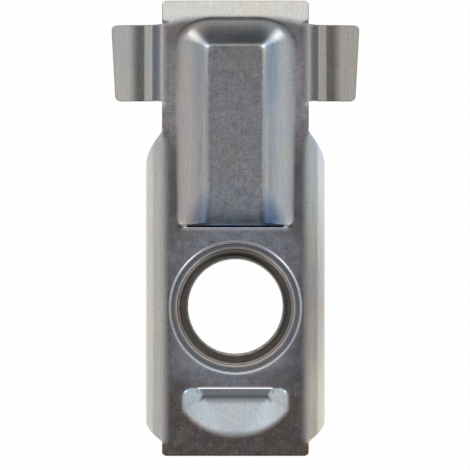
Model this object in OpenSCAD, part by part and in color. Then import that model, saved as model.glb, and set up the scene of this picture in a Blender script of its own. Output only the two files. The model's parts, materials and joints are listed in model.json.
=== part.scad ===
// Cage nut: a square nut held loose in a folded sheet cage with two spring ears.
// Sizes are in millimetres. The part lies with its bearing face up, the turned-in lips on the ground.

/* [Sheet] */
// thickness of the cage sheet
sheet_t = 0.6; // [0.5:0.05:0.7]
// inside radius of the side folds
fold_r = 1.1; // [0.9:0.05:1.3]

/* [Nut] */
// width across the sides of the square nut
nut_w = 11.1; // [10.8:0.1:11.6]
// height of the nut
nut_h = 5.4; // [4.8:0.1:6]
// diameter of the bore at the thread crests
bore_d = 6.86; // [6.66:0.02:6.9]
// diameter of the countersink at each face of the nut
sink_d = 8.5; // [8.2:0.1:9]
// full angle of the countersink
sink_angle = 110; // [90:5:120]
// radius of the upright corners of the nut
nut_corner_r = 0.6; // [0.3:0.1:1]

/* [Play] */
// room between the nut and each side wall
side_play = 0.28; // [0.1:0.02:0.4]
// room between the nut and each stop
end_play = 0.38; // [0.25:0.01:0.5]
// room above the nut while it rests on the lips
lift_play = 0.2; // [0.1:0.05:0.4]
// room between the flat of the nut and the start of each fold
bevel_room = 0.03; // [0.02:0.01:0.2]

/* [Plate] */
// width of the plate at its tail, its neck and its top lip
tab_w = 10.5; // [10.2:0.1:10.8]
// thread axis to the end of the tail
tail_reach = 10.62; // [10.2:0.1:12]
// radius of the tail corners
tail_corner_r = 0.25; // [0.1:0.05:0.6]
// diameter of the clearance hole
hole_d = 9.2; // [8.8:0.1:9.6]
// rounding at the front edge of the clearance hole
hole_edge_r = 0.18; // [0.1:0.02:0.24]

/* [Side walls] */
// thread axis to where the walls begin, towards the ears
wall_top = 12.69; // [12:0.1:13.4]
// thread axis to where the walls begin, towards the tail
wall_tail = 9.65; // [9:0.05:10]
// slope of the wall end towards the ears
wall_top_slope = 0.8; // [0.6:0.02:0.86]
// slope of the wall end towards the tail
wall_tail_slope = 0.48; // [0.3:0.02:0.54]
// straight width of each turned-in lip
lip_w = 0.45; // [0.3:0.05:0.5]
// length of each turned-in lip
lip_len = 11.8; // [9:0.2:12]

/* [Ears] */
// thread axis to the lower edge of the ears
ear_low = 14.84; // [14:0.1:15.4]
// width of each ear along the plate
ear_w = 5.5; // [4.8:0.1:5.6]
// inset of the ear fold from the plate edge
ear_inset = 0.35; // [0.2:0.05:0.4]
// inside radius of the fold at the root of the ear
ear_root_r = 0.1; // [0.05:0.05:0.3]
// inside radius of the fold at the foot of the step
ear_foot_r = 1; // [0.7:0.05:1.2]
// slope of the step
ear_step_angle = 62; // [50:1:70]
// straight length of the step
ear_step_l = 1.1; // [0.8:0.05:1.3]
// inside radius of the crown of the pad
ear_pad_r = 1.4; // [1:0.1:2]
// fall of the pad
ear_pad_angle = 25; // [15:1:30]
// reach of the ear from the middle of the plate at its upper corner
ear_reach = 9; // [8.6:0.05:9.4]
// how much shorter the ear is at its lower corner
ear_slant = 0.3; // [0:0.05:0.5]
// radius of the ear corners
ear_corner_r = 0.35; // [0.2:0.05:0.6]

/* [Top lip] */
// lower edge of the ears to the fold of the top lip
head_l = 5.6; // [5.5:0.1:6]
// inside radius of that fold
top_fold_r = 1.2; // [0.8:0.1:1.6]
// angle of the top lip, away from the face
top_fold_angle = 19; // [12:1:25]
// straight length of the top lip
top_lip_l = 1.01; // [0.8:0.01:1.5]

/* [Recess] */
// depth of the recess at its floor
recess_depth = 1.45; // [1.3:0.05:1.55]
// width of the flat floor
recess_floor_w = 3.4; // [3:0.1:4]
// upper end of the flat floor to the fold of the top lip
recess_head_l = 1.8; // [1.6:0.05:2]
// slope of the side walls
recess_side_angle = 35; // [33:1:40]
// slope of the upper end wall
recess_top_angle = 36; // [34:1:40]
// inside radius of the corners
recess_r = 0.5; // [0.3:0.05:0.6]
// rounding of the upper corners of the mouth
recess_corner_r = 1.7; // [1:0.1:2]
// extra half width of the mouth at its upper end
recess_flare = 0.15; // [0:0.05:0.25]
// width of the softened rim
recess_rim_w = 0.8; // [0.5:0.05:1]
// depth of the softened rim
recess_rim_h = 0.2; // [0.1:0.02:0.25]
// reach of the softened rim past the sheared edge of the plate
recess_rim_lap = 0.2; // [0.1:0.02:0.3]
// gap between the sheared edge of the plate and the sheared end of the recess
shear_gap = 0.03; // [0.02:0.01:0.1]

/* [Half-moon stop] */
// width of the half-moon
moon_w = 7.9; // [7:0.1:8.4]
// thread axis to the far side of the half-moon
moon_reach = 9.35; // [8.9:0.05:9.5]
// radius of its round side
moon_arc_r = 4.9; // [4.4:0.1:5.6]
// depth at the sheared edge
moon_depth = 0.75; // [0.72:0.01:0.95]
// length of the flat band where it meets the slope
moon_flat_l = 4.4; // [3.8:0.1:5]
// extra half length of the flat band at the sheared edge
moon_flat_flare = 0.35; // [0.1:0.05:0.5]
// width of that flat band
moon_flat_w = 0.52; // [0.3:0.02:0.7]
// width of the slit between the plate and the sheared edge
slit_w = 0.23; // [0.18:0.01:0.3]
// length of the slit
slit_l = 5.3; // [4.8:0.1:5.8]

/* [Hidden] */
$fn = 64;
press_fn = 32;
over = 1;
skin = 0.05;
inner_w = nut_w + 2 * side_play;
fold_out = fold_r + sheet_t;
flat_w = inner_w - 2 * fold_r;
nut_bevel = fold_r - side_play + bevel_room;
stop_y = nut_w / 2 + end_play;
edge_y = stop_y - shear_gap;
inner_h = nut_h + lift_play;
cage_h = inner_h + 2 * sheet_t;
wall_l = cage_h - 2 * fold_out;
ear_top = ear_low + ear_w;
ear_root = tab_w / 2 - ear_inset;
top_fold = ear_low + head_l;
recess_floor_top = top_fold - recess_head_l;
top_out = top_fold_r + sheet_t;
top_end = top_fold + top_out * sin(top_fold_angle) + top_lip_l * cos(top_fold_angle);
mid_y = (top_end - tail_reach) / 2;
mouth_lift = recess_r;
mouth_rise = recess_depth + mouth_lift;
recess_half = recess_floor_w / 2;
mouth_half = recess_half + recess_r * tan(recess_side_angle / 2) + mouth_rise / tan(recess_side_angle);
mouth_top = recess_floor_top + recess_r * tan(recess_top_angle / 2) + mouth_rise / tan(recess_top_angle);
mouth_low = edge_y - 2 * sheet_t;
rim_in = (mouth_lift + recess_rim_h) / tan(recess_side_angle);
sink_h = (sink_d - bore_d) / 2 / tan(sink_angle / 2);
nut_z = -sheet_t - lift_play - nut_h;

// a slice of a disc, from the upright round to the right, up to a quarter
module slice(r, angle) {
    far = 2 * r;
    intersection() {
        circle(r);
        square(far);
        rotate(-angle)
            translate([-far, 0])
                square(far);
    }
}

// a slice of a ring
module ring_piece(r_in, r_out, angle) {
    difference() {
        slice(r_out, angle);
        circle(r_in);
    }
}

// a straight run of sheet seen on edge, front face on top
module run(length) {
    translate([0, -sheet_t])
        square([length, sheet_t]);
    translate([length, 0])
        children();
}

// a fold that turns the sheet away from the front
module fold_away(r, angle) {
    translate([0, -r - sheet_t]) {
        ring_piece(r, r + sheet_t, angle);
        rotate(-angle)
            translate([0, r + sheet_t])
                children();
    }
}

// a fold that turns the sheet towards the front
module fold_back(r, angle) {
    translate([0, r]) {
        mirror([0, 1])
            ring_piece(r, r + sheet_t, angle);
        rotate(angle)
            translate([0, -r])
                children();
    }
}

// cuts a round corner whose tip is at the origin, with its sides along minus X and minus Y
module corner_cut(r) {
    translate([-r, -r])
        difference() {
            square(2 * r);
            circle(r);
        }
}

// both sides of a shape that is drawn for plus X
module both_sides() {
    children();
    mirror([1, 0, 0])
        children();
}

// both sides of a flat outline
module both_sides_2d() {
    children();
    mirror([1, 0])
        children();
}

// a half space whose face leans with the wall end, for plus X
module wall_end_cut(start, slope, way) {
    lean = asin(slope / sqrt(1 + 2 * slope * slope));
    far = 4 * cage_h;
    translate([tab_w / 2, way * start, 0])
        rotate([-way * lean, 0, -way * atan(slope)])
            translate([-far, way > 0 ? 0 : -far, -far])
                cube([2 * far, far, 2 * far]);
}

// squares off the end of the lip and its fold
module lip_end_cut(way) {
    from = lip_len / 2;
    far = wall_top + over;
    translate([0, way > 0 ? from : -from - far, -cage_h - over])
        cube([inner_w, far, fold_out + over]);
}

// one side wall with its turned-in lip
module side_wall() {
    length = wall_top + wall_tail;
    difference() {
        translate([flat_w / 2, wall_top, 0])
            rotate([90, 0, 0])
                linear_extrude(length)
                    fold_away(fold_r, 90)
                        run(wall_l)
                            fold_away(fold_r, 90)
                                run(lip_w);
        wall_end_cut(wall_top, wall_top_slope, 1);
        wall_end_cut(wall_tail, wall_tail_slope, -1);
        lip_end_cut(1);
        lip_end_cut(-1);
    }
}

// one stepped spring ear, trimmed to its plan
module ear() {
    intersection() {
        translate([ear_root, ear_top, 0])
            rotate([90, 0, 0])
                linear_extrude(ear_w)
                    fold_away(ear_root_r, ear_step_angle)
                        run(ear_step_l)
                            fold_back(ear_foot_r, ear_step_angle)
                                fold_away(ear_pad_r, ear_pad_angle)
                                    run(ear_reach);
        translate([0, 0, -cage_h])
            linear_extrude(cage_h + over)
                ear_plan();
    }
}

// outline of the ear from the front
module ear_plan() {
    slant = atan(ear_slant / ear_w);
    difference() {
        polygon([
            [0, ear_low],
            [ear_reach - ear_slant, ear_low],
            [ear_reach, ear_top],
            [0, ear_top]
        ]);
        translate([ear_reach, ear_top])
            rotate(-slant / 2)
                corner_cut(ear_corner_r);
        translate([ear_reach - ear_slant, ear_low])
            rotate(-slant / 2)
                mirror([0, 1])
                    corner_cut(ear_corner_r);
    }
}

// the flat of the plate: full width at the tail and the neck, narrower between the folds and between the ears
module flat() {
    translate([0, 0, -sheet_t])
        linear_extrude(sheet_t)
            difference() {
                union() {
                    translate([-flat_w / 2, -tail_reach])
                        square([flat_w, tail_reach + top_fold]);
                    translate([-tab_w / 2, -tail_reach])
                        square([tab_w, tail_reach - wall_tail]);
                    translate([-tab_w / 2, wall_top])
                        square([tab_w, top_fold - wall_top]);
                }
                both_sides_2d()
                    translate([ear_root, ear_low])
                        square([over, ear_w]);
                both_sides_2d()
                    translate([tab_w / 2, -tail_reach])
                        mirror([0, 1])
                            corner_cut(tail_corner_r);
            }
}

// the top lip, bent away from the face
module top_lip() {
    translate([-tab_w / 2, top_fold, 0])
        rotate([90, 0, 90])
            linear_extrude(tab_w)
                fold_away(top_fold_r, top_fold_angle)
                    run(top_lip_l);
}

// everything behind the front face of the plate and the top lip
module behind_face() {
    low = 2 * cage_h;
    translate([-tab_w, 0, 0])
        rotate([90, 0, 90])
            linear_extrude(2 * tab_w)
                union() {
                    translate([-tail_reach, -low])
                        square([tail_reach + top_fold, low]);
                    translate([top_fold, -top_out]) {
                        slice(top_out, top_fold_angle);
                        rotate(-top_fold_angle)
                            translate([0, top_out - low])
                                square([top_lip_l, low]);
                    }
                }
}

// keeps what lies beyond a line across the plate, towards the ears
module beyond(y) {
    translate([-tab_w, y, -cage_h])
        cube([2 * tab_w, 2 * top_fold, 2 * cage_h]);
}

// keeps what lies beyond a line across the plate, towards the tail
module below(y) {
    translate([-tab_w, -y - 2 * tail_reach, -cage_h])
        cube([2 * tab_w, 2 * tail_reach, 2 * cage_h]);
}

// the form of the recess punch, grown by a sheet for the die side
module recess_form(grow) {
    wide = grow / sin(recess_side_angle);
    hull()
        both_sides() {
            translate([recess_half, recess_floor_top, recess_r - recess_depth])
                sphere(recess_r + grow, $fn = press_fn);
            translate([recess_half, mouth_low, recess_r - recess_depth])
                sphere(recess_r + grow, $fn = press_fn);
            translate([mouth_half + recess_flare - recess_corner_r, mouth_top - recess_corner_r, mouth_lift])
                cylinder(h = skin, r = recess_corner_r + wide);
            translate([mouth_half - recess_r, mouth_low, mouth_lift])
                cylinder(h = skin, r = recess_r + wide, $fn = press_fn);
        }
}

// softened rim of the recess
module recess_rim() {
    hull()
        both_sides() {
            rim_ring(mouth_half + recess_flare - recess_corner_r, mouth_top - recess_corner_r,
                     recess_corner_r - rim_in);
            rim_ring(mouth_half - rim_in - recess_r, edge_y + recess_r + recess_rim_w - recess_rim_lap, recess_r);
        }
}

// one corner of the softened rim
module rim_ring(x, y, r) {
    translate([x, y, -recess_rim_h])
        cylinder(h = recess_rim_h, r1 = r, r2 = r + recess_rim_w, $fn = press_fn);
}

// the drawn sheet of the recess, sheared off at the stop for the nut
module recess_sheet() {
    intersection() {
        recess_form(sheet_t);
        behind_face();
        beyond(stop_y);
    }
}

// outline of the half-moon
module moon_plan() {
    intersection() {
        translate([0, moon_arc_r - moon_reach])
            circle(moon_arc_r);
        translate([-moon_w / 2, -moon_reach])
            square([moon_w, moon_reach - stop_y]);
    }
}

// the form of the half-moon punch
module moon_form() {
    half = moon_flat_l / 2;
    hull() {
        linear_extrude(skin)
            moon_plan();
        translate([0, -stop_y, -moon_depth])
            linear_extrude(skin)
                polygon([
                    [-half - moon_flat_flare, 0],
                    [-half, -moon_flat_w],
                    [half, -moon_flat_w],
                    [half + moon_flat_flare, 0]
                ]);
    }
}

// rounds the front edge of the clearance hole
module hole_edge_cut() {
    rotate_extrude()
        translate([hole_d / 2, -hole_edge_r])
            difference() {
                translate([-over, 0])
                    square([over + hole_edge_r, hole_edge_r + over]);
                translate([hole_edge_r, 0])
                    circle(hole_edge_r);
                translate([0, -over])
                    square([over, over]);
            }
}

module cage_body() {
    difference() {
        union() {
            flat();
            top_lip();
            both_sides() {
                side_wall();
                ear();
            }
            recess_sheet();
            intersection() {
                translate([0, 0, -sheet_t])
                    moon_form();
                below(stop_y);
            }
        }
        intersection() {
            recess_form(0);
            beyond(edge_y);
        }
        recess_rim();
        moon_form();
        translate([-slit_l / 2, -stop_y, -sheet_t - over])
            cube([slit_l, slit_w, sheet_t + 2 * over]);
        translate([0, 0, -sheet_t - over])
            cylinder(h = sheet_t + 2 * over, d = hole_d);
        hole_edge_cut();
    }
}

// outline of the nut across its bevelled sides
module nut_section() {
    half = nut_w / 2;
    polygon([
        [-half, nut_bevel],
        [nut_bevel - half, 0],
        [half - nut_bevel, 0],
        [half, nut_bevel],
        [half, nut_h - nut_bevel],
        [half - nut_bevel, nut_h],
        [nut_bevel - half, nut_h],
        [-half, nut_h - nut_bevel]
    ]);
}

module nut_plan() {
    half = nut_w / 2;
    difference() {
        translate([-half, -half])
            square(nut_w);
        for (x = [0, 1], y = [0, 1])
            mirror([x, 0])
                mirror([0, y])
                    translate([half, half])
                        corner_cut(nut_corner_r);
    }
}

module nut_body() {
    translate([0, 0, nut_z])
        difference() {
            intersection() {
                translate([0, nut_w / 2, 0])
                    rotate([90, 0, 0])
                        linear_extrude(nut_w)
                            nut_section();
                linear_extrude(nut_h)
                    nut_plan();
            }
            translate([0, 0, -over])
                cylinder(h = nut_h + 2 * over, d = bore_d);
            cylinder(h = sink_h, d1 = sink_d, d2 = bore_d);
            translate([0, 0, nut_h - sink_h])
                cylinder(h = sink_h, d1 = bore_d, d2 = sink_d);
        }
}

module placed() {
    translate([0, -mid_y, cage_h])
        children();
}

module cage() {
    color([0.62, 0.64, 0.67])
        placed()
            cage_body();
}

module nut() {
    color([0.5, 0.51, 0.52])
        placed()
            nut_body();
}

cage();
nut();
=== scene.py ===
"""Cage nut: a loose square nut in a folded, zinc-plated sheet cage.

The cage is drawn as one sheet: its front face is a net of quads that follows the plate, the
pressings, the side walls and the ears, and the sheet's thickness is added behind it. The nut
has a real thread. Shapes are worked out in millimetres from the thread axis and the front face.
"""
import json
import math
from functools import partial

import bmesh
import bpy
import numpy as np
from bpy.props import FloatProperty, FloatVectorProperty, IntProperty, PointerProperty
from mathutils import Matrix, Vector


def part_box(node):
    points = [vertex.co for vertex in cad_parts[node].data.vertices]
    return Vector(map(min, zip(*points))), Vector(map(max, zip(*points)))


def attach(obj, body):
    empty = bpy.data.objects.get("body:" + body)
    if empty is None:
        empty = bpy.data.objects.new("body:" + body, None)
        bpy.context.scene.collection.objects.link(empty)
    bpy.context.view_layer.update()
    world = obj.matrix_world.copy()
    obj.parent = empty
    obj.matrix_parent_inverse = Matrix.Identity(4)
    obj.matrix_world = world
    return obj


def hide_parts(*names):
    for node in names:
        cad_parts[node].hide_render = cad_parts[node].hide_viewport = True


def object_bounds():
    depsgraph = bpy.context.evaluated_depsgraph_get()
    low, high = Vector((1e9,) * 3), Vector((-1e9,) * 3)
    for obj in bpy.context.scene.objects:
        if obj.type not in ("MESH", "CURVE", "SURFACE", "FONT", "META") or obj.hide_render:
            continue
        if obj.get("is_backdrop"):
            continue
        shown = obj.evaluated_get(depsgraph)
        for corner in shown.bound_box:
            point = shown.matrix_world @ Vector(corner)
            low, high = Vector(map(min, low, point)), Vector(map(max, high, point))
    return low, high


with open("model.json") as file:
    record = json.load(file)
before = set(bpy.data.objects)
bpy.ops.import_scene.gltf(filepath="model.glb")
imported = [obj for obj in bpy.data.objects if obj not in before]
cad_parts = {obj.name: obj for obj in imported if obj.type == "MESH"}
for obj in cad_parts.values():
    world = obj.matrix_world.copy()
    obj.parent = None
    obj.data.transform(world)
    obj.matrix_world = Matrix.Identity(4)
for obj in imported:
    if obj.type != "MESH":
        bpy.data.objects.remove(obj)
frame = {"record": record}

bl_info = {
    "name": "Cage nut",
    "version": (1, 0, 0),
    "blender": (4, 5, 0),
    "location": "3D View > Sidebar > Cage nut",
    "description": "Draws a square nut in a folded, zinc-plated sheet cage over its solids",
    "category": "Object",
}

MM = 0.001
CAD_LOW, CAD_HIGH = (v.copy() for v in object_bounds())
THREAD = next(m for m in frame["record"]["mounts"] if m["name"] == "thread")
AXIS_Y = THREAD["pos_m"][1] / MM
FRONT_Z = CAD_HIGH.z / MM
# the photograph's frame, its scale at the front face, and the thread axis in it
PHOTO_PX = 470
MM_A_PX = 0.0715
AXIS_PX = (235.4, 307.5)


def to_row(co):
    """A point in millimetres from the thread axis and front face, in metres in the part's frame."""
    return (co[0] * MM, (co[1] + AXIS_Y) * MM, (co[2] + FRONT_Z) * MM)


def srgb(hex_code):
    """An sRGB hex value as a linear colour."""
    parts = [int(hex_code[i:i + 2], 16) / 255 for i in (1, 3, 5)]
    return tuple(p / 12.92 if p <= 0.04045 else ((p + 0.055) / 1.055) ** 2.4 for p in parts)


# sizes and colours that a user may change

class CageSettings(bpy.types.PropertyGroup):
    """Sizes of the folded cage"""
    sheet: FloatProperty(name="Sheet", description="Thickness of the sheet",
                         default=0.6 * MM, unit="LENGTH")
    hole: FloatProperty(name="Hole", description="Diameter of the clearance hole",
                        default=9.2 * MM, unit="LENGTH")
    hole_edge: FloatProperty(name="Hole edge", description="Rounding at the front of the hole",
                             default=0.22 * MM, unit="LENGTH")
    cut_edge: FloatProperty(name="Cut edge", description="Rounding along every other cut edge",
                            default=0.05 * MM, unit="LENGTH")
    recess: FloatProperty(name="Recess", description="Depth of the pressed recess",
                          default=1.37 * MM, unit="LENGTH")
    moon: FloatProperty(name="Half-moon", description="Depth of the half-moon at its cut edge",
                        default=0.75 * MM, unit="LENGTH")
    lip_fall: FloatProperty(name="Lip fall", description="Angle of the top lip",
                            default=math.radians(17), subtype="ANGLE")
    plate_colour: FloatVectorProperty(name="Zinc", description="Base colour of the plated sheet",
                                      default=srgb("#c9cacc"), size=3, subtype="COLOR")


class NutSettings(bpy.types.PropertyGroup):
    """Sizes of the square nut"""
    width: FloatProperty(name="Width", description="Width across the sides",
                         default=11.1 * MM, unit="LENGTH")
    bevel: FloatProperty(name="Bevel", description="Bevel along the sides that face the folds",
                         default=0.85 * MM, unit="LENGTH")
    crest: FloatProperty(name="Crest radius", description="Radius at the thread crests",
                         default=THREAD["dims"]["r_mm"] * MM, unit="LENGTH")
    root: FloatProperty(name="Root radius", description="Radius at the thread roots",
                        default=4.03 * MM, unit="LENGTH")
    pitch: FloatProperty(name="Pitch", description="Rise of the thread in one turn",
                         default=1.25 * MM, unit="LENGTH")
    sink: FloatProperty(name="Countersink", description="Diameter of the countersink at each face",
                        default=8.5 * MM, unit="LENGTH")
    sink_angle: FloatProperty(name="Countersink angle", description="Full angle of the countersink",
                              default=math.radians(110), subtype="ANGLE")
    lead: FloatProperty(name="Lead-in", default=4.1 * MM, unit="LENGTH",
                        description="Radius where the steep lead-in to the thread meets the face")
    sides: IntProperty(name="Facets", description="Facets around the bore", default=192)
    nut_colour: FloatVectorProperty(name="Nut zinc", description="Base colour of the plated nut",
                                    default=srgb("#bfc2c6"), size=3, subtype="COLOR")


class StageSettings(bpy.types.PropertyGroup):
    """Floor, light and camera"""
    floor_colour: FloatVectorProperty(name="Floor", description="Colour of the floor",
                                      default=srgb("#f7f7f7"), size=3, subtype="COLOR")
    camera_height: FloatProperty(name="Camera height", description="Camera above the front face",
                                 default=300 * MM, unit="LENGTH")
    overhead: FloatProperty(name="Overhead", description="Strength of the tent around the camera",
                            default=0.13)
    tent: FloatProperty(name="Tent", description="Strength of the tent's lit sides against the plan",
                        default=1.0)


# helpers

MATH, VECTOR_MATH = "ShaderNodeMath", "ShaderNodeVectorMath"


def add_node(tree, kind, settings=None, *values, stops=(), **inputs):
    """Adds a node. Its settings are given by name, or as the operation alone. Values fill its inputs in
    order, and other inputs are set or linked by name, or as i and their place. Stops are the (place,
    colour) pairs of a ramp. A node that is given as a value is linked from the output that it has in use."""
    node = tree.nodes.new(kind)
    settings = {"operation": settings} if isinstance(settings, str) else settings or {}
    for key, value in settings.items():
        setattr(node, key, value)
    for k, (place, colour) in enumerate(stops):
        elements = node.color_ramp.elements
        element = elements[k] if k < len(elements) else elements.new(1.0)
        element.position = place
        element.color = (*colour, 1)
    given = [(node.inputs[k], value) for k, value in enumerate(values)]
    for key, value in inputs.items():
        by_place = key[0] == "i" and key[1:].isdigit()
        socket = node.inputs[int(key[1:])] if by_place else next(
            s for s in node.inputs if s.name.replace(" ", "_") == key and s.enabled)
        given.append((socket, value))
    for socket, value in given:
        if isinstance(value, bpy.types.Node):
            value = next(s for s in value.outputs if s.enabled)
        if isinstance(value, bpy.types.NodeSocket):
            tree.links.new(value, socket)
        else:
            socket.default_value = value
    return node


def grey(value):
    return (value, value, value)


def graded(stops):
    """Grid lines through every stop, spaced by the step that each stop gives."""
    lines = []
    for (a, step), (b, _) in zip(stops, stops[1:]):
        n = max(1, round((b - a) / step))
        lines += [a + (b - a) * i / n for i in range(n)]
    return lines + [stops[-1][0]]


def soft_max(a, b, k):
    """The larger of two heights, rounded over the blend k."""
    h = np.clip(0.5 + 0.5 * (a - b) / k, 0, 1)
    return b + (a - b) * h + k * h * (1 - h)


def fade(value, begin, full):
    """A smooth rise from 0 where the value is at the beginning to 1 where it is at the full end."""
    t = np.clip((value - begin) / (full - begin), 0, 1)
    return t * t * (3 - 2 * t)


def glow(value, middle, spread):
    """A soft peak of 1 around a middle value."""
    return np.exp(-((value - middle) / spread) ** 2)


def smooth(mesh, angle):
    mesh.polygons.foreach_set("use_smooth", [True] * len(mesh.polygons))
    mesh.set_sharp_from_angle(angle=math.radians(angle))


def plain_mesh(obj, name):
    """The evaluated object as a mesh of its own."""
    depsgraph = bpy.context.evaluated_depsgraph_get()
    mesh = bpy.data.meshes.new_from_object(obj.evaluated_get(depsgraph))
    mesh.name = name
    return mesh


def add_object(name, mesh):
    obj = bpy.data.objects.new(name, mesh)
    bpy.context.scene.collection.objects.link(obj)
    return obj


# the cage's shape: x and y are millimetres from the thread axis, +y towards the ears

# half widths of the plate at its tail, neck and top lip, and of the flat between the side folds
TAB, FLAT = 5.25, 4.6
TAIL, TAIL_R = -10.62, 0.25
# the stops at both ends of the nut, and the plate's sheared edge below the recess with its half length
STOP, EDGE, SHEAR_HALF = 5.93, 5.73, 3.42
# length and drop of the plate's edges where the shear rolled them over
EDGE_ROLL, EDGE_DROP = 0.35, 0.025
SLIT_ROLL, SLIT_DROP = 0.3, 0.05
# rows of the recess's end, curled under that edge: place on the flat sheet, place when curled, drop
CURL = [(5.76, 5.66, 0.42), (5.84, 5.79, 0.2), (STOP, 5.9, 0.06)]
CURL_FADE = 0.05
# the slit between the plate and the half-moon's cut edge
MOON_TOP, SLIT, SLIT_HALF = -5.85, -5.74, 2.65
# side folds, at the front face, and the walls and lips that they lead to
FOLD_R, FOLD_STEPS, WALL_STEPS, LIP_STEPS = 1.83, 14, 6, 3
WALL_TOP, WALL_TOP_SLOPE = 12.69, 0.8
WALL_TAIL, WALL_TAIL_SLOPE = 9.65, 0.48
LIP_HALF, LIP_W = STOP, 0.45
# ears: the edges along the plate, the reach, the round start of the root, the step's slope and the pad's fall
EAR_LOW, EAR_TOP = 14.79, 20.28
EAR_REACH, EAR_SLANT, EAR_R = 8.96, 0.3, 0.35
EAR_START, EAR_ROUND, EAR_BEND, EAR_CURVE = 4.62, 0.5, 1.93, 0.8
EAR_STEP, EAR_FALL = 62, 25
ROOT_STEPS, PAD_STEPS = 8, 9
# top lip: its fold, which bows towards the tail at both sides, and its end
TOP_FOLD, TOP_R, TOP_END, LIP_BOW = 20.46, 1.8, 21.979, 0.4
# half side of the square patch around the hole, and the shares of the way in where its rings lie
RING = 5.05
RING_STEPS = (0, 0.12, 0.25, 0.4, 1)
# recess: its mouth widens towards the ears and is rounded at the sheared end
MOUTH_LOW, MOUTH_HALF, MOUTH_FLARE = 6.0, 4.25, 0.25 / 14
MOUTH_CORNER_TOP, MOUTH_CORNER_L, MOUTH_CORNER_W = 6.55, 0.65, 0.5
RIM_TOP, RIM_R, TOP_WALL_W = 20.84, 3.2, 2.15
FLOOR_HALF = 1.86
# the floor is a little dished about its middle, and rolls over towards the sheared end with the walls
DISH, DISH_MID = 0.0021, 12.9
FLOOR_ROLL, FLOOR_ROLL_FROM = 0.05, 7.1
WALL_ROLL, WALL_ROLL_FROM = 0.8, 7.6
# slopes of the drawn walls by distance in from the rim
SIDE_SLOPES = [(0, 0.04), (0.25, 0.32), (0.5, 0.4), (0.8, 0.5), (1.2, 0.64), (1.6, 0.78), (2.1, 0.82),
               (2.3, 0.78), (2.55, 0.35), (2.85, 0.04)]
TOP_SLOPES = [(0, 0.03), (0.4, 0.24), (0.9, 0.46), (1.4, 0.6), (1.9, 0.67), (2.4, 0.67), (2.62, 0.35),
              (2.85, 0.04)]
WALL_W = SIDE_SLOPES[-1][0]
# half-moon: its outline, and the flat band at its cut edge
MOON_HALF, MOON_REACH, MOON_R, MOON_CORNER = 3.95, 9.38, 4.9, 0.65
MOON_FLAT, MOON_FLARE, MOON_BAND = 2.2, 0.35, 0.52
MOON_SOFT, MOON_LEAN = 0.2, 0.05
HALVINGS = 24


def lip_depth(x, y, fall):
    """Fall of the top lip behind the plate."""
    bow = LIP_BOW * np.clip(abs(x) / FLAT, 0, 1) ** 4
    u = np.clip(y - TOP_FOLD + bow, 0, None)
    end = TOP_R * math.sin(fall)
    bend = TOP_R - np.sqrt(TOP_R ** 2 - np.minimum(u, end) ** 2)
    return bend + np.clip(u - end, 0, None) * math.tan(fall)


def drawn_wall(e, slopes):
    """Depth of a drawn wall, 0 to 1, by distance in from its rim: soft at the rim, steepest just above
    the floor."""
    at = np.linspace(0, WALL_W, 400)
    down = np.cumsum(np.interp(at, *zip(*slopes)))
    return np.interp(e, at, (down - down[0]) / (down[-1] - down[0]))


def round_in(t):
    """How far a quarter-round corner draws its edge in, 0 to 1, along its length."""
    return 1 - np.sqrt(1 - np.clip(t, 0, 0.99) ** 2)


def recess_inset(x, y):
    """Distance in from the recess's rim, stretched so that the floor begins at one value all round, and
    the share of the top wall's slopes."""
    mouth = MOUTH_HALF + MOUTH_FLARE * (y - MOUTH_LOW)
    mouth = mouth - MOUTH_CORNER_W * round_in((MOUTH_CORNER_TOP - y) / MOUTH_CORNER_L)
    across = (mouth - abs(x)) * WALL_W / (mouth - FLOOR_HALF)
    along = (RIM_TOP - y) * WALL_W / TOP_WALL_W
    corner = RIM_R - np.hypot(np.clip(RIM_R - across, 0, None), np.clip(RIM_R - along, 0, None))
    e = np.where((across < RIM_R) | (along < RIM_R), corner, np.minimum(across, along))
    top = np.maximum(fade(across - along, -1.2, 1.2), 0.8 * fade(y, 14.5, 18.5))
    return np.clip(e, 0, WALL_W), top


def roll_over(y, begin):
    """Roll towards the sheared end, 0 to 1, from where it begins."""
    past_end = 0.03
    return (np.clip(begin - y, 0, begin - STOP + past_end) / (begin - STOP)) ** 2


def recess_depth(x, y, depth):
    """Depth of the drawn recess: a floor with soft walls round three sides, rolled over at its sheared
    end."""
    e, top = recess_inset(x, y)
    d = (1 - top) * drawn_wall(e, SIDE_SLOPES) + top * drawn_wall(e, TOP_SLOPES)
    dish = DISH * (y - DISH_MID) ** 2
    roll = FLOOR_ROLL * roll_over(y, FLOOR_ROLL_FROM) + WALL_ROLL * (1 - d) * roll_over(y, WALL_ROLL_FROM)
    return d * (depth - dish + roll)


def shear_roll(x, y, depth):
    """The plate's own edges at the two cuts, rolled over by the shear."""
    t = np.clip((y - EDGE + EDGE_ROLL) / EDGE_ROLL, 0, 1)
    over = t * t * np.minimum(recess_depth(x, np.full_like(y, STOP), depth), EDGE_DROP)
    u = np.clip((SLIT + SLIT_ROLL - y) / SLIT_ROLL, 0, 1)
    return over + SLIT_DROP * u * u * fade(abs(x), SLIT_HALF, SLIT_HALF - 0.3) * (y > SLIT - 1e-6)


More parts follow.
